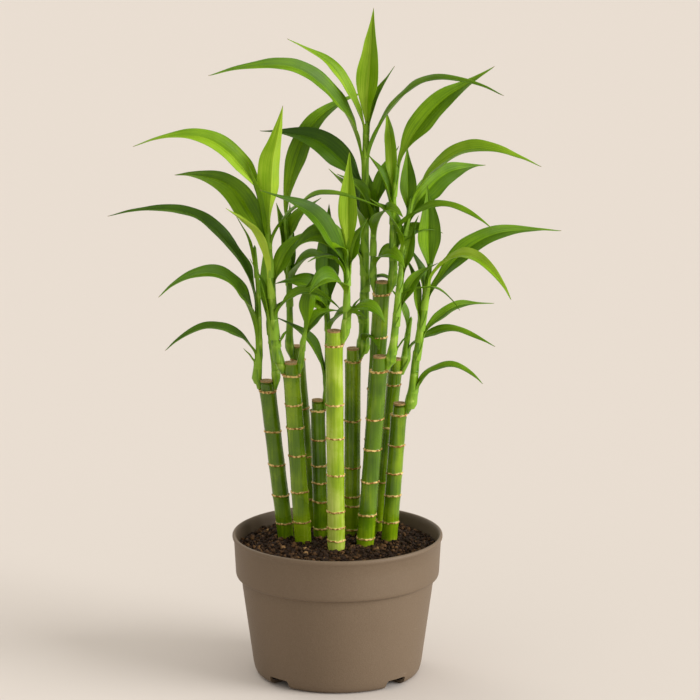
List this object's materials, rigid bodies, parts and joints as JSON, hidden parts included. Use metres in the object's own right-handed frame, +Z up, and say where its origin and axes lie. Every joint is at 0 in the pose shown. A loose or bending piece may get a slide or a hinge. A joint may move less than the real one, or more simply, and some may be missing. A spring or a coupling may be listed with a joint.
{
  "type": "potted lucky bamboo",
  "caption": "Lucky bamboo plant: ringed green canes cut to different heights with arching leafy shoots, in soil in a tapered nursery pot with a banded rim.",
  "frame": {"origin": "centre of the flat underside of the pot", "axes": "+Z up along the pot's axis, +X to the right and +Y to the back as seen from the front"},
  "size_m": [0.4069, 0.19, 0.6036],
  "materials": {
    "pot_plastic": "matte",
    "soil_earth": "matte",
    "cane_skin": "satin",
    "pale_cane_skin": "satin",
    "shoot_skin": "satin",
    "leaf_skin": "satin",
    "young_leaf_skin": "satin"
  },
  "bodies": {
    "root": {"pot": "pot_plastic", "soil": "soil_earth", "cane_1": "cane_skin", "cane_2": "cane_skin", "cane_3": "cane_skin", "cane_4": "pale_cane_skin", "cane_5": "cane_skin", "cane_6": "cane_skin", "cane_7": "cane_skin", "cane_8": "cane_skin", "cane_9": "cane_skin", "cane_10": "cane_skin", "shoot_1": "shoot_skin", "shoot_2": "shoot_skin", "shoot_3": "shoot_skin", "shoot_4": "shoot_skin", "shoot_5": "shoot_skin", "shoot_6": "shoot_skin", "shoot_7": "shoot_skin", "shoot_8": "shoot_skin", "shoot_9": "shoot_skin", "shoot_10": "shoot_skin", "shoot_11": "shoot_skin", "shoot_12": "shoot_skin", "shoot_13": "shoot_skin", "leaf_1_1": "leaf_skin", "leaf_1_2": "leaf_skin", "leaf_1_3": "leaf_skin", "leaf_3_1": "young_leaf_skin", "leaf_3_2": "leaf_skin", "leaf_3_3": "young_leaf_skin", "leaf_3_4": "young_leaf_skin", "leaf_3_5": "leaf_skin", "leaf_3_6": "leaf_skin", "leaf_3_7": "leaf_skin", "leaf_4_1": "leaf_skin", "leaf_4_2": "leaf_skin", "leaf_6_1": "leaf_skin", "leaf_6_2": "leaf_skin", "leaf_7_1": "young_leaf_skin", "leaf_7_2": "leaf_skin", "leaf_8_1": "leaf_skin", "leaf_8_2": "young_leaf_skin", "leaf_8_3": "young_leaf_skin", "leaf_8_4": "leaf_skin", "leaf_8_5": "leaf_skin", "leaf_9_1": "leaf_skin", "leaf_10_1": "young_leaf_skin", "leaf_10_2": "leaf_skin", "leaf_10_3": "young_leaf_skin", "leaf_11_1": "leaf_skin", "leaf_11_2": "leaf_skin", "leaf_11_3": "leaf_skin", "leaf_11_4": "leaf_skin", "leaf_12_1": "leaf_skin", "leaf_13_1": "leaf_skin", "leaf_13_2": "young_leaf_skin", "leaf_13_3": "leaf_skin", "leaf_13_4": "leaf_skin", "leaf_13_5": "leaf_skin"}
  },
  "joints": []
}
